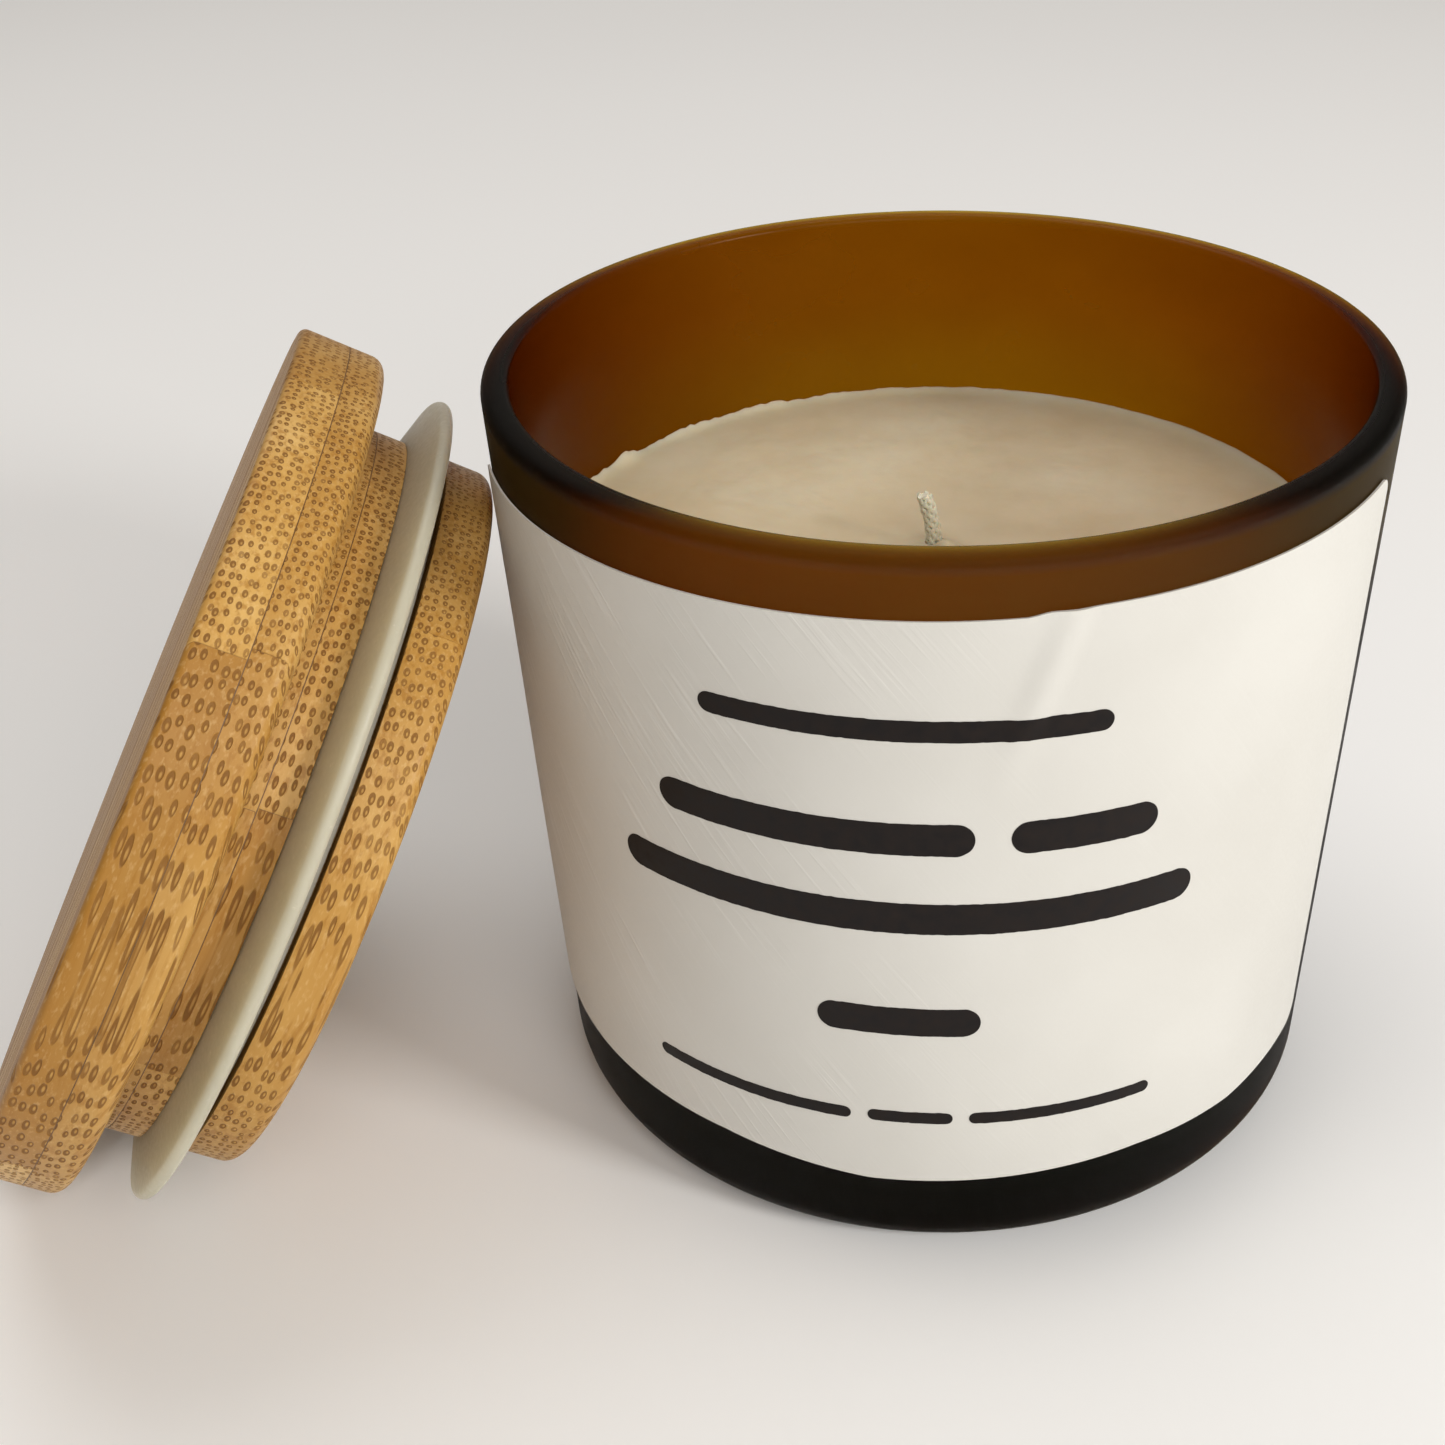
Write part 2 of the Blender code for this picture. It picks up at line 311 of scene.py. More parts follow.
def make_glass():
    """Amber glass, satin outside: the body colour comes from absorption, so thick glass is darker.
    The outside band below the rim and above the wax is painted glow: a brighter amber colour and a
    little less transmission, standing in for light that comes through it from inside."""
    shader = Shader("frosted_amber_glass", IOR=1.16, Specular_Tint=(1.0, 0.84, 0.68, 1.0))
    place = shader.place()
    height = shader.add("SeparateXYZ", {0: place}).outputs["Z"]
    cloud = shader.noise(shader.stretch(place, (1, 1, 1.6)), 55, detail=4)
    grain = shader.noise(place, 5200, detail=2)
    inside = shader.attribute("inside", "Fac")
    outside = shader.math("SUBTRACT", 1.0, inside)
    satin = shader.span(cloud, 0.3, 0.7, 0.50, 0.60)
    smooth = shader.span(cloud, 0.3, 0.7, 0.20, 0.28)
    roughness = shader.add("Mix", {0: inside, 2: satin, 3: smooth}, data_type="FLOAT").outputs[0]
    # painted glow: the outside band between the wax and the rim is tinted a brighter amber and made a
    # little less clear, standing in for light coming through the glass
    below_rim = shader.span(height, 60.8 * MM, 61.8 * MM, 1.0, 0.0)
    above_wax = shader.span(height, 44 * MM, 56 * MM)
    painted_glow = shader.math("MULTIPLY", shader.math("MULTIPLY", below_rim, above_wax), outside)
    clear = shader.math("MULTIPLY_ADD", painted_glow, -0.025, 1.0)
    tint = shader.ramp(cloud, [(0.3, (0.86, 0.78, 0.60)), (0.7, (1.0, 1.0, 0.85))])
    painted_glow_tint = shader.ramp(cloud, [(0.3, (0.84, 0.46, 0.05)), (0.7, (1.0, 0.60, 0.08))])
    tint = shader.mix(painted_glow, tint, painted_glow_tint)
    frost = shader.bump(grain, 0.02 * MM, 0.35)
    sag = shader.bump(shader.noise(place, 60, detail=2), 0.3 * MM, 0.25, frost)
    shader.surface(Base_Color=tint, Transmission_Weight=clear, Roughness=roughness, Normal=sag)
    absorb = shader.add("VolumeAbsorption", {"Color": (0.805, 0.68, 0.0, 1.0), "Density": 3300.0})
    output = shader.tree.nodes["Material Output"]
    shader.tree.links.new(absorb.outputs[0], output.inputs["Volume"])
    return shader.material


def make_label_film():
    """White satin film, with fine slanting creases pressed in along its left half."""
    shader = Shader("label_film", Specular_IOR_Level=0.35)
    flat = shader.attribute("sheet")
    cloud = shader.noise(flat, 45, detail=3)
    slanted = shader.stretch(flat, (1, 1, 1), (0, 0, -38))
    across = shader.stretch(slanted, (2300, 75, 1))
    threads = shader.span(shader.noise(across, 1, detail=2), 0.50, 0.72)
    patches = shader.span(shader.noise(flat, 70, detail=2), 0.36, 0.62)
    side = shader.add("SeparateXYZ", {0: flat}).outputs["X"]
    left = shader.span(side, -40 * MM, 12 * MM, 1.0, 0.12)
    creases = shader.math("MULTIPLY", shader.math("MULTIPLY", threads, patches), left)
    tooth = shader.noise(flat, 2600, detail=3)
    tint = shader.ramp(cloud, [(0.3, (0.62, 0.605, 0.565)), (0.7, (0.68, 0.668, 0.63))])
    tint = shader.mix(shader.math("MULTIPLY", creases, 0.35), tint, (0.80, 0.79, 0.76))
    roughness = shader.span(tooth, 0.3, 0.7, 0.48, 0.62)
    normal = shader.bump(tooth, 0.012 * MM, 0.5)
    normal = shader.bump(creases, 0.05 * MM, 0.7, normal)
    shader.surface(Base_Color=tint, Roughness=roughness, Normal=normal)
    return shader.material


def make_ink():
    shader = Shader("label_ink", Specular_IOR_Level=0.2)
    flat = shader.attribute("sheet")
    patch = shader.noise(flat, 900, detail=4)
    tint = shader.ramp(patch, [(0.35, (0.004, 0.002, 0.002)), (0.75, (0.012, 0.007, 0.005))])
    shader.surface(Base_Color=tint, Roughness=shader.span(patch, 0.3, 0.7, 0.38, 0.55),
                   Normal=shader.bump(patch, 0.01 * MM, 0.5))
    return shader.material


def make_wax():
    """Cream wax with soft clouds, pinholes and a satin skin."""
    shader = Shader("cream_wax", Subsurface_Weight=0.35, Subsurface_Scale=0.004,
                    Subsurface_Radius=(1.0, 0.55, 0.28), Specular_IOR_Level=0.4)
    place = shader.place()
    cloud = shader.noise(place, 70, detail=5, roughness=0.55)
    fine = shader.noise(place, 900, detail=4)
    tint = shader.ramp(cloud, [(0.25, (0.62, 0.48, 0.29)), (0.5, (0.69, 0.57, 0.38)),
                               (0.8, (0.75, 0.66, 0.48))])
    normal = shader.bump(cloud, 0.5 * MM, 0.3)
    normal = shader.bump(fine, 0.03 * MM, 0.45, normal)
    shader.surface(Base_Color=tint, Roughness=shader.span(fine, 0.3, 0.7, 0.38, 0.56), Normal=normal)
    return shader.material


def make_cotton():
    shader = Shader("waxed_cotton", Subsurface_Weight=0.2, Subsurface_Scale=0.001, Sheen_Weight=0.2)
    place = shader.place()
    fibre = shader.noise(shader.stretch(place, (1, 1, 0.25)), 9000, detail=4)
    tint = shader.ramp(fibre, [(0.3, (0.78, 0.69, 0.52)), (0.7, (0.87, 0.80, 0.63))])
    shader.surface(Base_Color=tint, Roughness=shader.span(fibre, 0.3, 0.7, 0.55, 0.85),
                   Normal=shader.bump(fibre, 0.05 * MM, 0.8))
    return shader.material


def make_bamboo():
    """Bamboo as a solid: vessel bundles run along the block's Y, so end grain shows rings and
    the sides show streaks. Each bundle is a dark fibre cap with a pale vessel beside it."""
    shader = Shader("bamboo", Specular_IOR_Level=0.26)
    block = shader.attribute("block")
    tone = shader.attribute("tone", "Fac")
    share = shader.attribute("ply_share", "Fac")
    spacing = shader.attribute("spacing", "Fac")
    parts = shader.add("SeparateXYZ", {0: block})
    along_grain = shader.add("CombineXYZ", {0: parts.outputs["Y"], 1: tone}).outputs[0]
    long_drift = shader.math("SUBTRACT", shader.noise(along_grain, 55, detail=1), 0.5)
    near_grain = shader.stretch(block, (260, 130, 260))
    short_drift = shader.math("SUBTRACT", shader.noise(near_grain, 1, detail=2), 0.5)
    short_drift = shader.math("MULTIPLY", short_drift, 0.5 * MM)
    drift = shader.math("MULTIPLY_ADD", long_drift, 1.6 * MM, short_drift)
    across = shader.math("DIVIDE", shader.math("ADD", parts.outputs["X"], drift), spacing)
    deep = shader.math("DIVIDE", parts.outputs["Z"], spacing)
    section = shader.add("CombineXYZ", {0: across, 1: deep}).outputs[0]
    own_start = shader.add("CombineXYZ", {0: shader.math("MULTIPLY", tone, 37.0)}).outputs[0]
    seeded = shader.add("VectorMath", {0: section, 1: own_start}, operation="ADD").outputs[0]
    cells = shader.add("TexVoronoi", {"Vector": seeded, "Scale": 1.0, "Randomness": 0.5},
                       voronoi_dimensions="2D", feature="F1")
    away = shader.add("VectorMath", {0: seeded, 1: cells.outputs["Position"]},
                      operation="SUBTRACT").outputs[0]
    beside = shader.add("VectorMath", {0: away, 1: (0.05, -0.05, 0.0)},
                        operation="SUBTRACT").outputs[0]
    cell = shader.add("SeparateColor", {0: cells.outputs["Color"]})
    grown = shader.math("MULTIPLY_ADD", cell.outputs[0], 0.3, 0.85)

    def reach(vector):
        length = shader.add("VectorMath", {0: vector}, operation="LENGTH").outputs["Value"]
        return shader.math("DIVIDE", length, grown)

    cap = shader.span(reach(away), 0.25, 0.33, 1.0, 0.0)
    vessel = shader.span(reach(beside), 0.05, 0.17, 1.0, 0.0)
    strength = shader.span(cell.outputs[1], 0.0, 0.5, 0.7, 1.0)
    strength = shader.math("MULTIPLY", strength, shader.span(share, 0.0, 1.0, 1.0, 0.8))
    cap = shader.math("MULTIPLY", cap, strength)
    vessel = shader.math("MULTIPLY", vessel, shader.span(share, 0.0, 0.6, 0.55, 1.0))

    streak = shader.noise(shader.stretch(block, (1900, 40, 1900)), 1, detail=3, roughness=0.6)
    patch = shader.noise(shader.stretch(block, (1, 0.35, 1)), 150, detail=3)
    pith = shader.noise(shader.stretch(block, (1, 0.3, 1)), 4200, detail=3)
    ground = shader.ramp(patch, [(0.25, (0.50, 0.265, 0.060)), (0.5, (0.62, 0.362, 0.100)),
                                 (0.75, (0.76, 0.50, 0.185))])
    ground = shader.mix(shader.span(streak, 0.48, 0.66, 0.0, 0.62), ground, (0.34, 0.145, 0.018))
    ground = shader.mix(shader.span(tone, 0.0, 1.0, 0.0, 0.85), ground, (0.34, 0.152, 0.020))
    ground = shader.mix(shader.span(share, 0.0, 0.55, 0.30, 0.0), ground, (0.33, 0.14, 0.018))
    ground = shader.mix(shader.span(pith, 0.5, 0.75, 0.0, 0.25), ground, (0.78, 0.55, 0.26))
    tint = shader.mix(shader.math("MULTIPLY", cap, 0.92), ground, (0.185, 0.074, 0.010))
    tint = shader.mix(shader.math("MULTIPLY", vessel, 0.72), tint, (0.60, 0.335, 0.090))
    relief = shader.math("SUBTRACT", shader.math("MULTIPLY", vessel, 0.9), cap)
    normal = shader.bump(relief, 0.07 * MM, 0.8)
    normal = shader.bump(pith, 0.02 * MM, 0.5, normal)
    roughness = shader.span(shader.math("ADD", pith, cap), 0.3, 1.3, 0.38, 0.62)
    shader.surface(Base_Color=tint, Roughness=roughness, Normal=normal)
    return shader.material


def make_glue():
    shader = Shader("dried_glue")
    patch = shader.noise(shader.place(), 700, detail=3)
    tint = shader.ramp(patch, [(0.3, (0.14, 0.065, 0.018)), (0.7, (0.24, 0.125, 0.040))])
    shader.surface(Base_Color=tint, Roughness=shader.span(patch, 0.3, 0.7, 0.4, 0.6),
                   Normal=shader.bump(patch, 0.02 * MM, 0.4))
    return shader.material


def make_silicone():
    """Milky silicone: satin skin, faint mould bands and a little dust."""
    shader = Shader("milky_silicone", Subsurface_Weight=1.0, Subsurface_Scale=0.005,
                    Subsurface_Radius=(1.0, 0.95, 0.8), Specular_IOR_Level=0.4)
    place = shader.attribute("block")
    cloud = shader.noise(place, 120, detail=4)
    dust = shader.span(shader.noise(place, 1500, detail=4, roughness=0.7), 0.60, 0.74)
    tint = shader.ramp(cloud, [(0.3, (0.375, 0.355, 0.275)), (0.7, (0.43, 0.41, 0.32))])
    tint = shader.mix(shader.math("MULTIPLY", dust, 0.35), tint, (0.58, 0.55, 0.46))
    fine = shader.noise(place, 2400, detail=3)
    normal = shader.bump(cloud, 0.3 * MM, 0.3)
    normal = shader.bump(fine, 0.015 * MM, 0.5, normal)
    shader.surface(Base_Color=tint, Roughness=shader.span(fine, 0.3, 0.7, 0.34, 0.50), Normal=normal)
    return shader.material


def make_tinplate():
    shader = Shader("tinplate", Metallic=1.0)
    brushed = shader.noise(shader.stretch(shader.place(), (300, 5000, 5000)), 1, detail=3)
    tint = shader.ramp(brushed, [(0.3, (0.55, 0.55, 0.54)), (0.7, (0.70, 0.70, 0.69))])
    shader.surface(Base_Color=tint, Roughness=shader.span(brushed, 0.3, 0.7, 0.25, 0.42),
                   Normal=shader.bump(brushed, 0.01 * MM, 0.5))
    return shader.material


def make_pad_foam():
    shader = Shader("adhesive_foam")
    cells = shader.noise(shader.place(), 3000, detail=4)
    tint = shader.ramp(cells, [(0.3, (0.70, 0.69, 0.64)), (0.7, (0.84, 0.83, 0.79))])
    shader.surface(Base_Color=tint, Roughness=shader.span(cells, 0.3, 0.7, 0.6, 0.85),
                   Normal=shader.bump(cells, 0.05 * MM, 0.6))
    return shader.material


# ---------------------------------------------------------------- geometry helpers


def finish_piece(name, body, material, cad_body, cad_nodes=(), sharp_deg=35):
    """Turn a bmesh into a shown piece that rides on a CAD body."""
    bmesh.ops.recalc_face_normals(body, faces=body.faces[:])
    mesh = bpy.data.meshes.new(name)
    body.to_mesh(mesh)
    body.free()
    mesh.shade_smooth()
    mesh.set_sharp_from_angle(angle=radians(sharp_deg))
    mesh.materials.append(material)
    piece = bpy.data.objects.new(name, mesh)
    bpy.context.scene.collection.objects.link(piece)
    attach(piece, cad_body)
    if cad_nodes:
        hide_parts(*cad_nodes)
    return piece


def set_attribute(mesh, name, kind, values):
    layer = mesh.attributes.new(name, kind, "POINT")
    layer.data.foreach_set("vector" if kind == "FLOAT_VECTOR" else "value", values)


def arc(centre, radius, start_deg, end_deg, steps):
    """Points on a circular arc in the (radius, height) plane."""
    points = []
    for step in range(steps + 1):
        angle = radians(start_deg + (end_deg - start_deg) * step / steps)
        points.append((centre[0] + radius * cos(angle), centre[1] + radius * sin(angle)))
    return points


def densify(outline, longest):
    """Split the long straight runs of an outline."""
    points = [outline[0]]
    for start, end in zip(outline, outline[1:]):
        length = sqrt((end[0] - start[0]) ** 2 + (end[1] - start[1]) ** 2)
        count = max(1, round(length / longest))
        for step in range(1, count + 1):
            share = step / count
            across = start[0] + share * (end[0] - start[0])
            upward = start[1] + share * (end[1] - start[1])
            points.append((across, upward))
    return points


def lathe(outline, shape=None, steps=ROUND_STEPS):
    """Turn an outline about Z. shape(point) may move each point a little."""
    body = bmesh.new()
    rings = []
    for radius, height in outline:
        if radius == 0.0:
            continue
        ring = []
        for step in range(steps):
            angle = 2 * pi * step / steps
            point = Vector((radius * cos(angle), radius * sin(angle), height))
            ring.append(body.verts.new(shape(point) if shape else point))
        rings.append(ring)
    pairs = list(zip(rings, rings[1:]))
    if outline[0][0] == 0.0:
        body.faces.new(rings[0])
        body.faces.new(rings[-1])
    else:
        pairs.append((rings[-1], rings[0]))
    for lower, upper in pairs:
        for step in range(steps):
            after = (step + 1) % steps
            body.faces.new((lower[step], lower[after], upper[after], upper[step]))
    return body


def tube(body, path, radius, sides=8):
    """Add a closed round tube along a path to a bmesh."""
    rings = []
    for index, point in enumerate(path):
        ahead = path[min(index + 1, len(path) - 1)] - path[max(index - 1, 0)]
        turn = ahead.to_track_quat("Z", "Y")
        ring = []
        for side in range(sides):
            angle = 2 * pi * side / sides
            ring.append(body.verts.new(point + turn @ Vector((cos(angle), sin(angle), 0)) * radius))
        rings.append(ring)
    for lower, upper in zip(rings, rings[1:]):
        for side in range(sides):
            after = (side + 1) % sides
            body.faces.new((lower[side], lower[after], upper[after], upper[side]))
    body.faces.new(rings[0])
    body.faces.new(rings[-1])


def wall_radius(height):
    """Outside radius of the jar's straight wall at a height."""
    return JAR_BASE_RADIUS + (JAR_MOUTH_RADIUS - JAR_BASE_RADIUS) * height / JAR_HEIGHT


# ---------------------------------------------------------------- jar side


def add_jar(material):
    slope_deg = degrees(atan2(JAR_MOUTH_RADIUS - JAR_BASE_RADIUS, JAR_HEIGHT))
    outline = [(0.0, 0.0)]
    outline += arc((wall_radius(BASE_ROUND) - BASE_ROUND, BASE_ROUND), BASE_ROUND, -90, -slope_deg, 12)
    outline += arc((JAR_MOUTH_RADIUS - RIM_ROUND, JAR_HEIGHT - RIM_ROUND), RIM_ROUND, 0, 90, 8)
    inner_mouth = JAR_MOUTH_RADIUS - JAR_WALL
    outline += arc((inner_mouth + INNER_RIM_ROUND, JAR_HEIGHT - INNER_RIM_ROUND), INNER_RIM_ROUND,
                   90, 180, 6)
    floor_centre = JAR_FLOOR + INNER_FLOOR_ROUND
    floor_radius = wall_radius(floor_centre) - JAR_WALL
    outline += arc((floor_radius - INNER_FLOOR_ROUND, floor_centre), INNER_FLOOR_ROUND, 0, -90, 10)
    outline.append((0.0, JAR_FLOOR))
    piece = finish_piece("jar_shell", lathe(outline), material, "jar", ["jar_glass"])
    inside = []
    above_floor = JAR_FLOOR - 0.1 * MM
    for corner in piece.data.vertices:
        mid_wall = wall_radius(corner.co.z) - JAR_WALL * 0.6
        within = corner.co.xy.length < mid_wall
        inside.append(1.0 if corner.co.z > above_floor and within else 0.0)
    set_attribute(piece.data, "inside", "FLOAT", inside)
    return piece


def along(points, place):
    """Read a height off a broken line given as (place, height) points."""
    for (start, low), (end, high) in zip(points, points[1:]):
        if place <= end:
            return low + (high - low) * (place - start) / (end - start)
    return points[-1][1]


def label_relief(azimuth_deg, height):
    """How far the film stands off its even wrap: a soft upright fold and a few faint waves."""
    arc_length = radians(azimuth_deg) * JAR_MOUTH_RADIUS
    fold_place = radians(FOLD_AZIMUTH_DEG) * JAR_MOUTH_RADIUS
    away = (arc_length - fold_place - (height - FOLD_FOOT) * FOLD_SLANT) / FOLD_WIDTH
    near_top = exp(-((height - FOLD_LEVEL) / FOLD_REACH) ** 2)
    fold = FOLD_HEIGHT * exp(-away ** 2) * near_top
    trough = FOLD_TROUGH * exp(-(away - FOLD_TROUGH_AWAY) ** 2) * near_top
    waves = FILM_WAVE * noise.noise(Vector((arc_length * 90, height * 60, 3.1)))
    return max(0.0, fold - trough + waves + FILM_LIFT)


def label_point(azimuth_deg, height, lift):
    radius = wall_radius(height) + LABEL_GAP + lift
    angle = radians(azimuth_deg - 90)
    return Vector((radius * cos(angle), radius * sin(angle), height))


def slab_grid(body, columns, rows, front, back):
    """Add a closed thin slab to a bmesh from two point functions of (column, row)."""
    grids = []
    for side in (front, back):
        grids.append([[body.verts.new(side(c, r)) for r in range(rows + 1)]
                      for c in range(columns + 1)])
    for grid in grids:
        for c in range(columns):
            for r in range(rows):
                body.faces.new((grid[c][r], grid[c + 1][r], grid[c + 1][r + 1], grid[c][r + 1]))
    edge = [(c, 0) for c in range(columns)] + [(columns, r) for r in range(rows)]
    edge += [(c, rows) for c in range(columns, 0, -1)] + [(0, r) for r in range(rows, 0, -1)]
    for (c0, r0), (c1, r1) in zip(edge, edge[1:] + edge[:1]):
        body.faces.new((grids[0][c0][r0], grids[0][c1][r1], grids[1][c1][r1], grids[1][c0][r0]))


def set_sheet_attribute(piece):
    """Store each point's place on the unrolled label: arc length from the front, height."""
    values = []
    for corner in piece.data.vertices:
        azimuth = atan2(corner.co.x, -corner.co.y)
        values += [azimuth * JAR_MOUTH_RADIUS, corner.co.z, 0.0]
    set_attribute(piece.data, "sheet", "FLOAT_VECTOR", values)


def add_label(material):
    span_deg = LABEL_RIGHT_DEG - LABEL_LEFT_DEG

    def place(c, r):
        azimuth = LABEL_LEFT_DEG + span_deg * (0.5 - 0.5 * cos(pi * c / LABEL_COLUMNS))
        from_end_deg = min(azimuth - LABEL_LEFT_DEG, LABEL_RIGHT_DEG - azimuth)
        from_end = radians(from_end_deg) * JAR_MOUTH_RADIUS
        short = max(0.0, LABEL_CORNER - from_end)
        trim = LABEL_CORNER - sqrt(LABEL_CORNER ** 2 - short ** 2)
        bottom = along(LABEL_BOTTOM_EDGE, azimuth) + trim
        top = along(LABEL_TOP_EDGE, azimuth) - trim
        return azimuth, bottom + (top - bottom) * r / LABEL_ROWS

    def front(c, r):
        azimuth, height = place(c, r)
        return label_point(azimuth, height, LABEL_THICKNESS + label_relief(azimuth, height))

    def back(c, r):
        azimuth, height = place(c, r)
        return label_point(azimuth, height, FILM_BACK_SHARE * label_relief(azimuth, height))

    body = bmesh.new()
    slab_grid(body, LABEL_COLUMNS, LABEL_ROWS, front, back)
    piece = finish_piece("label_sheet", body, material, "jar", ["front_label"])
    set_sheet_attribute(piece)
    return piece


def add_bar(body, first, last, middle, thickness):
    """Add one round-ended printed bar that follows the film."""
    columns = max(BAR_LEAST_COLUMNS, round((last - first) * BAR_COLUMNS_PER_DEG))
    length = radians(last - first) * JAR_MOUTH_RADIUS

    def place(c, r):
        share = 0.5 - 0.5 * cos(pi * c / columns)
        azimuth = first + (last - first) * share
        reach = min(min(share, 1 - share) * length, thickness / 2)
        half = max(sqrt(max(0.0, thickness * reach - reach ** 2)), PRINT_LEAST_HALF)
        edge_seed = 1.7 if r > BAR_ROWS / 2 else 8.3
        ragged = PRINT_RAGGED * noise.noise(Vector((azimuth * 1.3, middle * 900, edge_seed)))
        height = middle + half * (2 * r / BAR_ROWS - 1) + ragged * half / thickness * 2
        return azimuth, height

    def front(c, r):
        azimuth, height = place(c, r)
        lift = LABEL_THICKNESS + label_relief(azimuth, height)
        return label_point(azimuth, height, lift + PRINT_ABOVE)

    def back(c, r):
        azimuth, height = place(c, r)
        lift = LABEL_THICKNESS + label_relief(azimuth, height)
        return label_point(azimuth, height, lift - PRINT_BELOW)

    slab_grid(body, columns, BAR_ROWS, front, back)


def add_print(material):
    body = bmesh.new()
    for bar in PRINT_BARS:
        add_bar(body, *bar)
    piece = finish_piece("label_print", body, material, "jar")
    set_sheet_attribute(piece)
    return piece


def wax_height(point):
    """Height of the wax at a place: level, a shallow dip, a lump at the wick, a rim at the glass."""
    radius = point.xy.length
    angle = atan2(point.y, point.x)
    wall = wall_radius(WAX_LEVEL) - JAR_WALL - WAX_GAP
    from_drip = (point.xy - Vector(WAX_DRIP_PLACE)).length
    dip = -WAX_DIP * exp(-(radius / WAX_DIP_RADIUS) ** 2)
    lump = WAX_LUMP * exp(-(radius / WAX_LUMP_RADIUS) ** 2)
    lump += WAX_DRIP * exp(-(from_drip / WAX_DRIP_RADIUS) ** 2)
    swell = WAX_SWELL * noise.noise(Vector((point.x * 85, point.y * 85, 0.4)))
    swell += WAX_RIPPLE * noise.noise(Vector((point.x * 260, point.y * 260, 2.4)))
    swell *= min(1.0, (wall - radius) / WAX_CALM_EDGE)
    frayed = max(0.0, cos(angle - radians(WAX_FRAYED_DEG))) ** 1.5
    ragged = noise.noise(Vector((cos(angle) * 9, sin(angle) * 9, 5.0)))
    ragged += 0.5 * noise.noise(Vector((cos(angle) * 45, sin(angle) * 45, 5.0)))
    edge_rise = WAX_EDGE_RISE + (0.15 + frayed) * WAX_EDGE_FRAY * ragged
    climb = exp(-(wall - radius) / WAX_CLIMB)
    return WAX_LEVEL + dip + lump + swell + edge_rise * climb


def add_wax(material):
    wall = wall_radius(WAX_LEVEL) - JAR_WALL - WAX_GAP
    channel = WICK_RADIUS + WICK_CLEARANCE
    floor = JAR_FLOOR + WAX_GAP
    low_radius = wall_radius(floor + INNER_FLOOR_ROUND) - JAR_WALL - WAX_GAP
    top = [(channel, WAX_LEVEL)]
    top += [(WAX_INNER_RING + WAX_RING_STEP * step, WAX_LEVEL) for step in range(10)]
    for step in range(WAX_OUTER_RINGS + 1):
        from_edge = (1 - step / WAX_OUTER_RINGS) ** WAX_RING_CROWDING
        top.append((wall - WAX_OUTER_SPAN * from_edge, WAX_LEVEL))
    round_centre = (low_radius - INNER_FLOOR_ROUND, floor + INNER_FLOOR_ROUND)
    side = arc(round_centre, INNER_FLOOR_ROUND, 0, -90, 8)
    neck = TAB_NECK_RADIUS + FIT_GAP
    tab = TAB_RADIUS + FIT_GAP
    tab_top = floor + PAD_THICKNESS + FIT_GAP + TAB_THICKNESS + FIT_GAP
    neck_top = tab_top + TAB_NECK_HEIGHT
    recess = [(tab, floor), (tab, tab_top), (neck, tab_top), (neck, neck_top), (channel, neck_top)]

    def shape(point):
        if abs(point.z - WAX_LEVEL) < 0.01 * MM:
            return Vector((point.x, point.y, wax_height(point)))
        return point

    body = lathe(top + side + recess, shape, WAX_STEPS)
    return finish_piece("wax_body", body, material, "jar", ["wax_fill"], 50)


def wick_centre(height):
    """The wick's centre line: upright in the wax, its stub leaning a little."""
    start = WAX_LEVEL - WICK_DIMPLE
    share = max(0.0, (height - start) / WICK_STUB)
    return Vector((-WICK_LEAN * share ** 2, 0, height))


def add_wick(material):
    """Braided cotton: strands wound both ways round a core, weaving over and under."""
    body = bmesh.new()
    bottom = JAR_FLOOR + WAX_GAP + PAD_THICKNESS + FIT_GAP
    top = WAX_LEVEL - WICK_DIMPLE + WICK_STUB
    core_step = (top - bottom) / WICK_CORE_STEPS
    core = [wick_centre(bottom + core_step * step) for step in range(WICK_CORE_STEPS + 1)]
    tube(body, core, WICK_CORE_RADIUS, 10)
    for way in (1, -1):
        for strand in range(WICK_STRANDS):
            path = []
            for step in range(WICK_STEPS + 1):
                height = bottom + (top - bottom) * step / WICK_STEPS
                turned = 2 * pi * (height - bottom) / WICK_PITCH
                angle = way * turned + 2 * pi * strand / WICK_STRANDS
                weave = way * WICK_WEAVE * cos(WICK_STRANDS * turned + strand * pi)
                radius = WICK_WIND_RADIUS + weave
                path.append(wick_centre(height) + Vector((cos(angle), sin(angle), 0)) * radius)
            tube(body, path, WICK_STRAND_RADIUS, 6)
    return finish_piece("wick_braid", body, material, "jar", ["wick"], 60)


# ---------------------------------------------------------------- lid side


def lid_outline():
    """The bamboo block's outline from the top face down, as (radius, depth) points."""
    outline = arc((LID_RADIUS - LID_TOP_ROUND, LID_TOP_ROUND), LID_TOP_ROUND, -90, 0, 6)
    outline += arc((LID_RADIUS - LID_UNDER_ROUND, DISC_THICKNESS - LID_UNDER_ROUND), LID_UNDER_ROUND,
                   0, 90, 8)
    outline += [
        (PLUG_RADIUS, DISC_THICKNESS),
        (PLUG_RADIUS, GROOVE_TOP),
        (GROOVE_RADIUS, GROOVE_TOP),
        (GROOVE_RADIUS, GROOVE_BOTTOM),
        (PLUG_RADIUS, GROOVE_BOTTOM),
    ]
    outline += arc((PLUG_RADIUS - PLUG_END_ROUND, PLUG_END - PLUG_END_ROUND), PLUG_END_ROUND, 0, 90, 8)
    return outline


def radius_at(depth):
    """The block's radius at a depth below the top face."""
    for (radius, top), (next_radius, bottom) in zip(lid_outline(), lid_outline()[1:]):
        if top < depth <= bottom:
            return radius + (next_radius - radius) * (depth - top) / (bottom - top)
    return PLUG_RADIUS


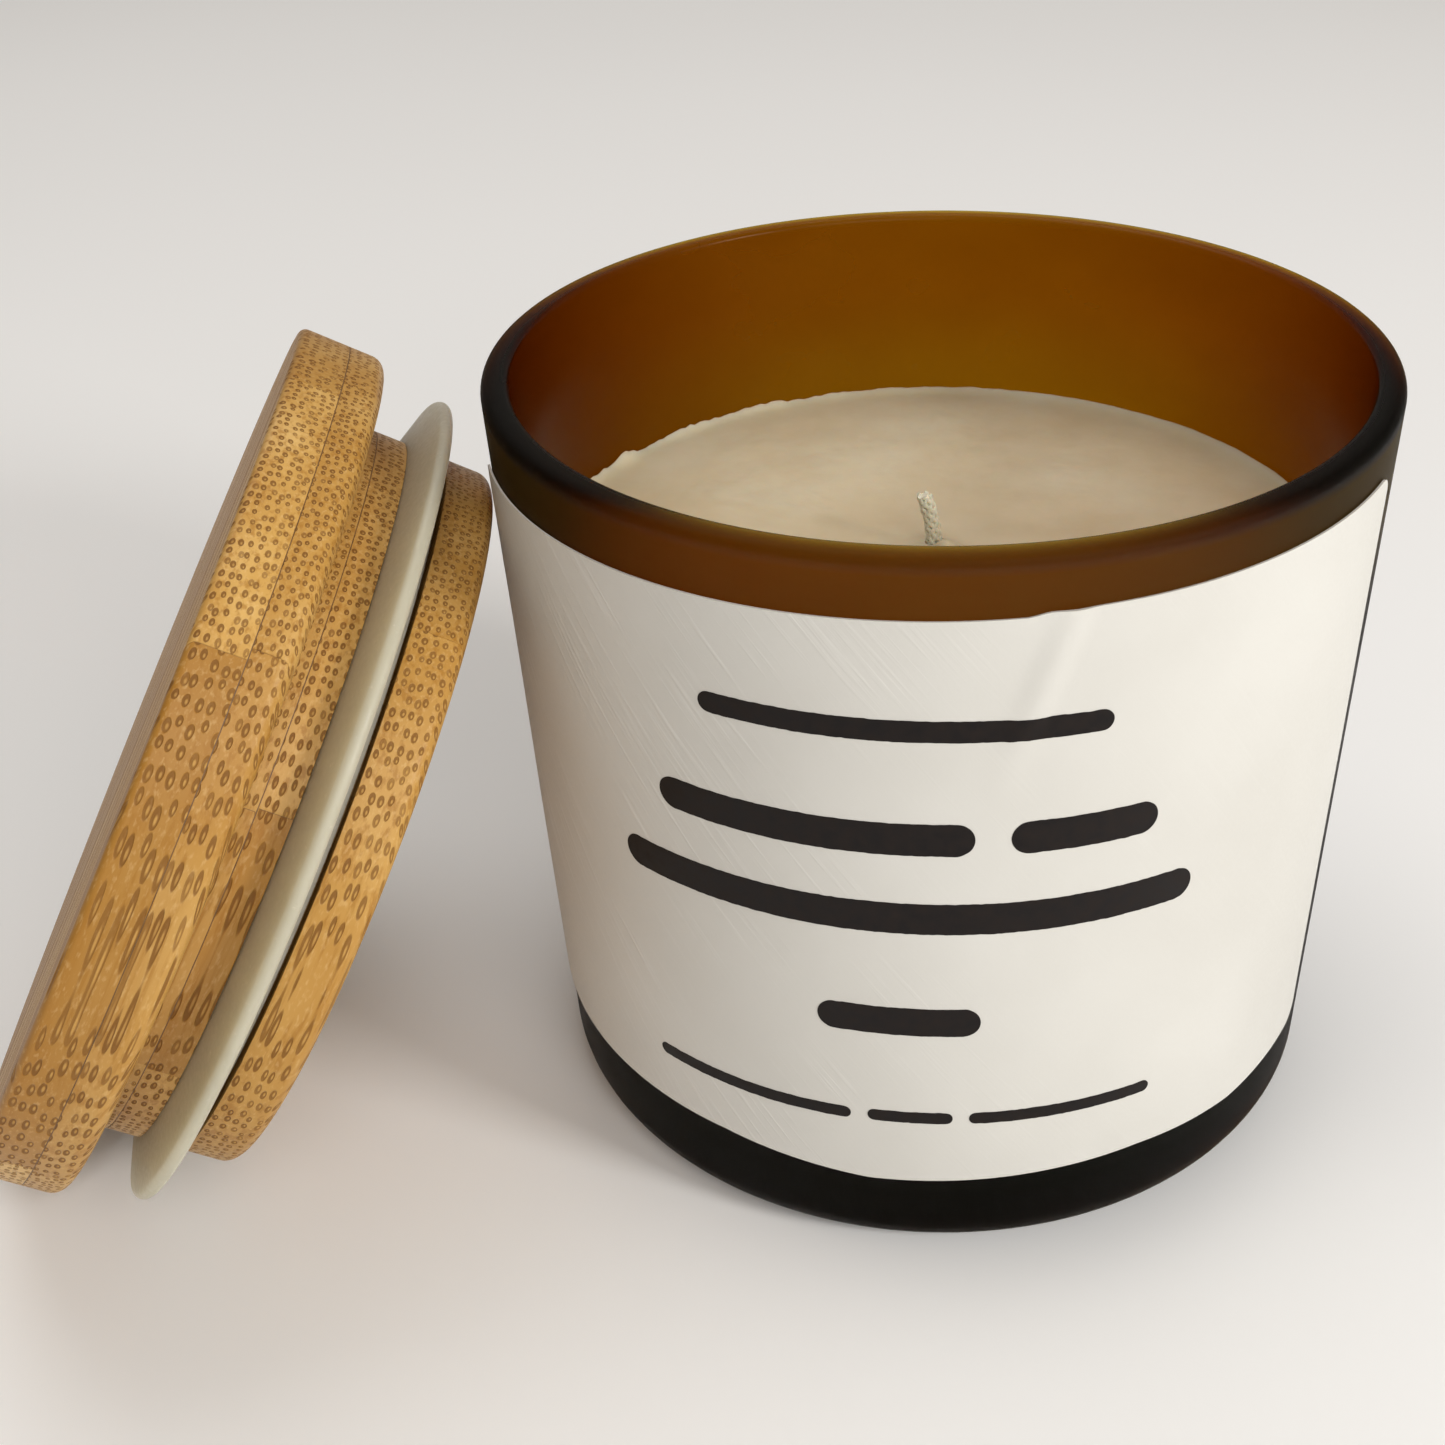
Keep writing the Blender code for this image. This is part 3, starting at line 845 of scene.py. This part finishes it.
def ply_outline(top, bottom):
    """The part of the block's outline between two depths, closed onto the axis."""
    block = lid_outline()
    band = []
    for (radius, depth), (next_radius, next_depth) in zip(block, block[1:]):
        for cut in (top, bottom):
            if depth < cut < next_depth:
                share = (cut - depth) / (next_depth - depth)
                band.append((radius + share * (next_radius - radius), cut))
        if top <= next_depth <= bottom:
            band.append((next_radius, next_depth))
    if top <= block[0][1]:
        band.insert(0, block[0])
    return [(0.0, -band[0][1])] + [(r, -d) for r, d in band] + [(0.0, -band[-1][1])]


def keep_between(body, low, high):
    """Cut a body down to the slab low < x < high and close the cut faces."""
    for position, side in ((low, -1), (high, 1)):
        geometry = body.verts[:] + body.edges[:] + body.faces[:]
        cut = bmesh.ops.bisect_plane(body, geom=geometry, dist=1e-7, plane_co=(position, 0, 0),
                                     plane_no=(side, 0, 0), clear_outer=True)
        rim = [item for item in cut["geom_cut"] if isinstance(item, bmesh.types.BMEdge)]
        bmesh.ops.edgeloop_fill(body, edges=rim)


def place_on_lid(piece):
    """Keep each point's place in the lid's own frame, then move the mesh to where the lid leans."""
    values = []
    for corner in piece.data.vertices:
        values += list(corner.co)
    set_attribute(piece.data, "block", "FLOAT_VECTOR", values)
    piece.data.transform(LID_FRAME)


def add_lid_strips(material):
    tops = [0.0] + [depth + GLUE_LINE / 2 for depth in PLY_DEPTHS]
    bottoms = [depth - GLUE_LINE / 2 for depth in PLY_DEPTHS] + [PLUG_END]
    for ply, (top, bottom) in enumerate(zip(tops, bottoms)):
        edges = [LID_RADIUS * 2] + STRIP_JOINTS[ply] + [-LID_RADIUS * 2]
        for number, (high, low) in enumerate(zip(edges, edges[1:])):
            body = lathe(ply_outline(top, bottom))
            keep_between(body, low + STRIP_LINE / 2, high - STRIP_LINE / 2)
            node = f"lid_ply{ply + 1}_strip{number + 1}"
            piece = finish_piece("bamboo_" + node, body, material, "lid", [node])
            count = len(piece.data.vertices)
            shares = [(-corner.co.z - top) / (bottom - top) for corner in piece.data.vertices]
            set_attribute(piece.data, "tone", "FLOAT", [STRIP_TONES[ply][number]] * count)
            set_attribute(piece.data, "spacing", "FLOAT", [BUNDLE_SPACING[ply][number]] * count)
            set_attribute(piece.data, "ply_share", "FLOAT", shares)
            place_on_lid(piece)


def merge(body, extra):
    """Move everything in one bmesh into another."""
    mesh = bpy.data.meshes.new("scratch")
    extra.to_mesh(mesh)
    extra.free()
    body.from_mesh(mesh)
    bpy.data.meshes.remove(mesh)


def add_glue_lines(material):
    """Thin dark sheets that fill the gaps between strips to just below the surface."""
    body = bmesh.new()
    for depth in PLY_DEPTHS:
        radius = radius_at(depth) - GLUE_RECESS
        half = GLUE_LINE * GLUE_HALF_SHARE
        sheet = lathe([(0.0, -depth - half), (radius, -depth - half), (radius, -depth + half),
                       (0.0, -depth + half)])
        merge(body, sheet)
    tops = [0.0] + PLY_DEPTHS
    bottoms = PLY_DEPTHS + [PLUG_END]
    for ply, (top, bottom) in enumerate(zip(tops, bottoms)):
        shrunk = []
        for radius, height in ply_outline(top + GLUE_LINE, bottom - GLUE_LINE):
            shrunk.append((max(0.0, radius - GLUE_RECESS), height))
        for joint in STRIP_JOINTS[ply]:
            sheet = lathe(shrunk)
            half = STRIP_LINE * GLUE_HALF_SHARE
            keep_between(sheet, joint - half, joint + half)
            merge(body, sheet)
    piece = finish_piece("glue_lines", body, material, "lid")
    piece.data.transform(LID_FRAME)


def add_seal(material):
    top = GROOVE_TOP + SEAL_CLEARANCE
    bottom = GROOVE_BOTTOM - FIT_GAP
    lip_centre = SEAL_LIP_RADIUS - SEAL_CLEARANCE - SEAL_LIP_THICKNESS / 2
    tip = (lip_centre, GROOVE_TOP + FIT_GAP + SEAL_LIP_DROP)
    outline = [(SEAL_INNER_RADIUS, bottom), (SEAL_INNER_RADIUS, top), (PLUG_RADIUS, top)]
    outline += arc(tip, SEAL_LIP_THICKNESS / 2, -SEAL_LIP_TURN_DEG, SEAL_LIP_TURN_DEG, 10)
    outline.append((PLUG_RADIUS + FIT_GAP, top + FIT_GAP + SEAL_WEB_THICKNESS))
    outline.append((PLUG_RADIUS - FIT_GAP, bottom))
    turned = densify([(radius, -depth) for radius, depth in outline], 0.6 * MM)
    piece = finish_piece("silicone_ring", lathe(turned), material, "lid", ["seal_ring"])
    place_on_lid(piece)


# ---------------------------------------------------------------- stage


def add_floor():
    shader = Shader("pale_floor")
    patch = shader.noise(shader.place(), 3, detail=2)
    tint = shader.ramp(patch, [(0.3, (0.95, 0.95, 0.955)), (0.7, (0.965, 0.965, 0.97))])
    shader.surface(Base_Color=tint, Roughness=shader.span(patch, 0.3, 0.7, 0.8, 0.9))
    mesh = bpy.data.meshes.new("floor")
    corners = [(x, y, FLOOR_LEVEL) for x, y in ((-1, -1), (1, -1), (1, 1), (-1, 1))]
    corners = [(x * FLOOR_SIDE, y * FLOOR_SIDE, z) for x, y, z in corners]
    mesh.from_pydata(corners, [], [(0, 1, 2, 3)])
    mesh.materials.append(shader.material)
    floor = bpy.data.objects.new("floor", mesh)
    bpy.context.scene.collection.objects.link(floor)


def add_area_light(name, place, target, size, power, colour):
    light = bpy.data.lights.new(name, "AREA")
    light.shape = "RECTANGLE"
    light.size = size
    light.size_y = size
    light.energy = power
    light.color = colour
    item = bpy.data.objects.new(name, light)
    item.location = place
    item.rotation_euler = (Vector(target) - Vector(place)).to_track_quat("-Z", "Y").to_euler()
    bpy.context.scene.collection.objects.link(item)


def add_lights():
    world = bpy.data.worlds.new("studio")
    world.use_nodes = True
    background = world.node_tree.nodes["Background"]
    background.inputs["Color"].default_value = SKY_COLOUR
    background.inputs["Strength"].default_value = SKY_STRENGTH
    bpy.context.scene.world = world
    for light in LIGHTS:
        add_area_light(*light)


def add_camera():
    camera = bpy.data.cameras.new("camera")
    camera.sensor_width = 36.0
    camera.lens = CAMERA_LENS
    camera.shift_x, camera.shift_y = CAMERA_SHIFT
    camera.clip_start = 0.01
    camera.clip_end = 50.0
    item = bpy.data.objects.new("camera", camera)
    bpy.context.scene.collection.objects.link(item)
    level = Vector((cos(CAMERA_YAW), -sin(CAMERA_YAW), 0))
    ahead = Vector((sin(CAMERA_YAW), cos(CAMERA_YAW), 0)) * cos(CAMERA_PITCH)
    ahead -= Vector((0, 0, sin(CAMERA_PITCH)))
    upright = level.cross(ahead)
    right = level * cos(CAMERA_ROLL) + upright * sin(CAMERA_ROLL)
    up = upright * cos(CAMERA_ROLL) - level * sin(CAMERA_ROLL)
    turn = Matrix((right, up, -ahead)).transposed().to_4x4()
    item.matrix_world = Matrix.Translation(CAMERA_PLACE) @ turn
    bpy.context.scene.camera = item


def build():
    bpy.context.scene.view_settings.view_transform = "Standard"
    add_jar(make_glass())
    add_label(make_label_film())
    add_print(make_ink())
    add_wax(make_wax())
    add_wick(make_cotton())
    add_lid_strips(make_bamboo())
    add_glue_lines(make_glue())
    add_seal(make_silicone())
    for node, material in (("wick_sustainer", make_tinplate()), ("sustainer_pad", make_pad_foam())):
        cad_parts[node].data.materials.clear()
        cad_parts[node].data.materials.append(material)
    add_floor()
    add_lights()
    add_camera()


build()
